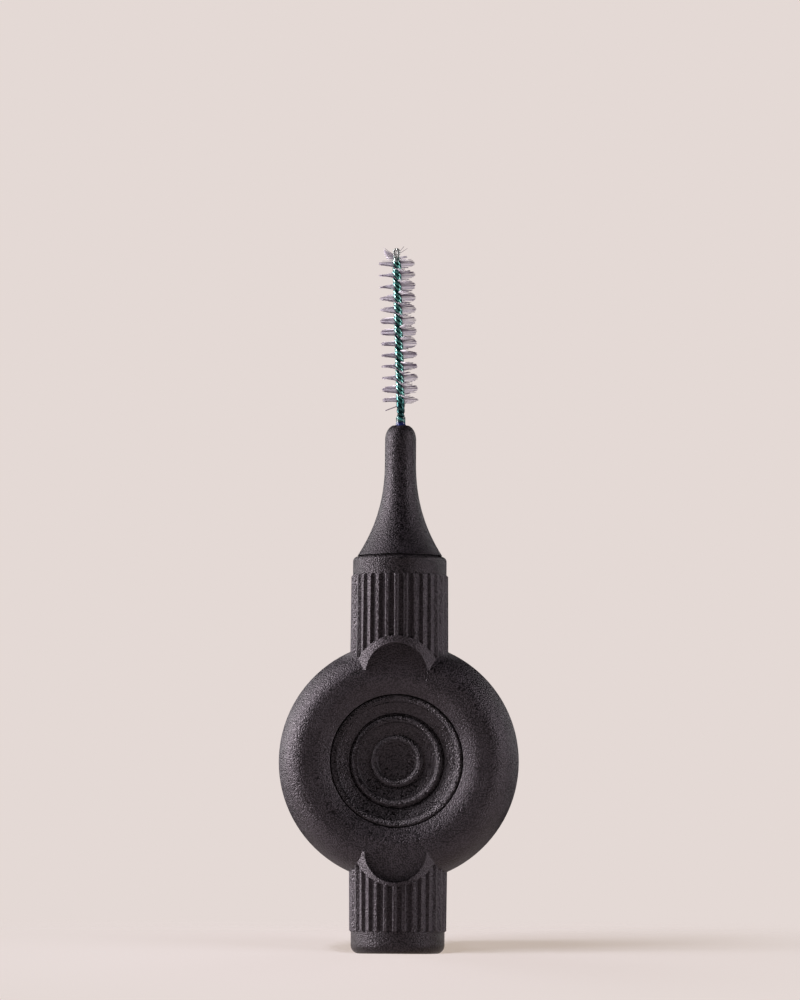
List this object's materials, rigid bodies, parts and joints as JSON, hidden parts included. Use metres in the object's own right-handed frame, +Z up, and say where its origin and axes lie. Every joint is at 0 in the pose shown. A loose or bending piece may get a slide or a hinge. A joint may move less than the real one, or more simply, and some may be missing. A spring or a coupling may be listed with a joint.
{
  "type": "interdental brush",
  "caption": "Twisted-wire interdental brush head plugged into a short fluted black handle with a dished, ringed thumb disc and thumb pockets; it stands on its lower collar.",
  "frame": {"origin": "middle of the foot's flat underside, on the axis of the handle", "axes": "+Z up along the handle towards the brush, -Y out of the front of the thumb disc, +X to the right as seen from the front"},
  "size_m": [0.0204, 0.0084, 0.0601],
  "materials": {
    "handle_plastic": "matt black, finely granular moulding",
    "pad_plastic": "matt black, finely granular moulding",
    "collar_plastic": "matt black, slightly smoother",
    "nozzle_plastic": "matt black, finely granular moulding",
    "seal_rubber": "soft black rubber",
    "core_plastic": "glossy deep blue",
    "coated_wire": "green metallic coat over steel, bare at the loop",
    "nylon_bristle": "translucent pale lavender nylon"
  },
  "bodies": {
    "handle": {"handle_body": "handle_plastic", "front_thumb_pad": "pad_plastic", "rear_thumb_pad": "pad_plastic", "upper_collar": "collar_plastic", "lower_collar": "collar_plastic"},
    "brush_head": {"brush_nozzle": "nozzle_plastic", "plug_seal_ring": "seal_rubber", "wire_core": "core_plastic", "twisted_wire": "coated_wire", "bristles": "nylon_bristle"}
  },
  "joints": [
    {"name": "brush_head_pull", "type": "slide", "parent": "handle", "child": "brush_head", "axis": [0, 0, 1], "range_m": [0, 0.0072]}
  ]
}
